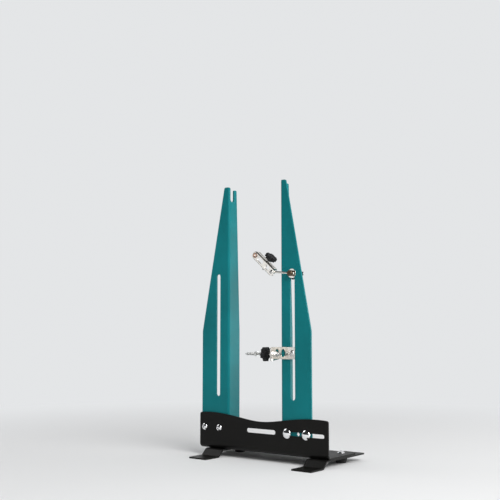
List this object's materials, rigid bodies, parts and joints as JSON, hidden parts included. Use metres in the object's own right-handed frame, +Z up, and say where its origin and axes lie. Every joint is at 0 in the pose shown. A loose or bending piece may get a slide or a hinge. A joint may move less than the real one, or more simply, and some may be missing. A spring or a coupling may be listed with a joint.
{
  "type": "bicycle wheel truing stand",
  "caption": "Bench stand that holds a bicycle wheel between slotted uprights, with a rim gauge and a brake disc gauge for truing.",
  "frame": {"origin": "on the ground, under the middle of the stand's box", "axes": "+X to the right along the front plate, +Y to the back, +Z up"},
  "size_m": [0.274, 0.165, 0.482],
  "materials": {
    "base_coat": "satin black powder coat",
    "upright_coat": "satin teal powder coat",
    "chrome": "polished",
    "zinc": "bright zinc plate",
    "nickel": "bright nickel plate",
    "dark_steel": "black oxide",
    "copper": "copper plate",
    "knob": "moulded black",
    "rubber": "matt"
  },
  "bodies": {
    "stand": {"base_plate": "base_coat", "foot_strip_left": "base_coat", "foot_strip_right": "base_coat", "foot_screws": "chrome", "foot_nuts": "zinc", "rubber_feet": "rubber", "upright_left": "upright_coat", "left_bolts": "chrome", "left_washers": "zinc", "left_nuts": "zinc"},
    "sliding_upright": {"upright_right": "upright_coat", "width_bolts": "chrome", "width_washers": "zinc", "width_nuts": "zinc"},
    "rim_gauge": {"rim_bracket": "nickel", "rim_guide": "zinc", "rim_clamp_screw": "zinc", "rim_clamp_washer": "zinc", "rim_feeler_nut": "zinc"},
    "rim_clamp": {"rim_clamp_knob": "knob"},
    "rim_feeler": {"rim_feeler_screw": "zinc", "rim_stop_nut": "zinc"},
    "rim_feeler_turn": {"rim_feeler_knob": "knob"},
    "disc_carriage": {"disc_front_washer": "nickel", "disc_rear_washer": "zinc"},
    "disc_swivel": {"disc_stud": "nickel", "disc_set_screw": "dark_steel"},
    "disc_clamp": {"disc_clamp_knob": "knob"},
    "disc_arm": {"disc_rod": "nickel", "disc_pivot_screw": "zinc", "disc_pivot_nut": "zinc"},
    "disc_channel": {"disc_link": "nickel", "disc_eyelet": "copper"},
    "disc_feeler": {"disc_feeler_screw": "zinc"},
    "disc_feeler_turn": {"disc_feeler_knob": "knob"}
  },
  "joints": [
    {"name": "width_slide", "type": "slide", "parent": "stand", "child": "sliding_upright", "axis": [1, 0, 0], "range_m": [0, 0.029]},
    {"name": "rim_gauge_height", "type": "slide", "parent": "sliding_upright", "child": "rim_gauge", "axis": [0, 0, 1], "range_m": [-0.068, 0.045]},
    {"name": "rim_clamp_turn", "type": "hinge", "parent": "rim_gauge", "child": "rim_clamp", "pos_m": [0.066, -0.02, 0.1837], "axis": [0, 1, 0], "continuous": true},
    {"name": "rim_feeler_reach", "type": "slide", "parent": "rim_gauge", "child": "rim_feeler", "axis": [1, 0, 0], "range_m": [-0.004, 0.008]},
    {"name": "rim_feeler_spin", "type": "hinge", "parent": "rim_feeler", "child": "rim_feeler_turn", "pos_m": [0.024, -0.047, 0.182], "axis": [1, 0, 0], "range_deg": [-1800, 3600]},
    {"name": "disc_gauge_height", "type": "slide", "parent": "sliding_upright", "child": "disc_carriage", "axis": [0, 0, 1], "range_m": [-0.045, 0]},
    {"name": "disc_swivel_turn", "type": "hinge", "parent": "disc_carriage", "child": "disc_swivel", "pos_m": [0.066, -0.03, 0.3184], "axis": [0, 1, 0], "range_deg": [-35, 5]},
    {"name": "disc_clamp_turn", "type": "hinge", "parent": "disc_swivel", "child": "disc_clamp", "pos_m": [0.066, -0.02, 0.3184], "axis": [0, 1, 0], "continuous": true},
    {"name": "disc_arm_reach", "type": "slide", "parent": "disc_swivel", "child": "disc_arm", "axis": [0.9945, 0, -0.1045], "range_m": [-0.002, 0.002]},
    {"name": "disc_channel_tilt", "type": "hinge", "parent": "disc_arm", "child": "disc_channel", "pos_m": [0.02721, -0.0338, 0.32248], "axis": [0, 1, 0], "range_deg": [-50, 0]},
    {"name": "disc_feeler_reach", "type": "slide", "parent": "disc_channel", "child": "disc_feeler", "axis": [-0.6587, 0, -0.7524], "range_m": [-0.004, 0.0023]},
    {"name": "disc_feeler_spin", "type": "hinge", "parent": "disc_feeler", "child": "disc_feeler_turn", "pos_m": [0.01254, -0.0323, 0.33532], "axis": [-0.6587, 0, -0.7524], "range_deg": [-1800, 1035]}
  ],
  "couplings": [
    {"joint": "rim_feeler_spin", "follows": "rim_feeler_reach", "rad_per_m": 7854},
    {"joint": "disc_feeler_spin", "follows": "disc_feeler_reach", "rad_per_m": 7854}
  ]
}
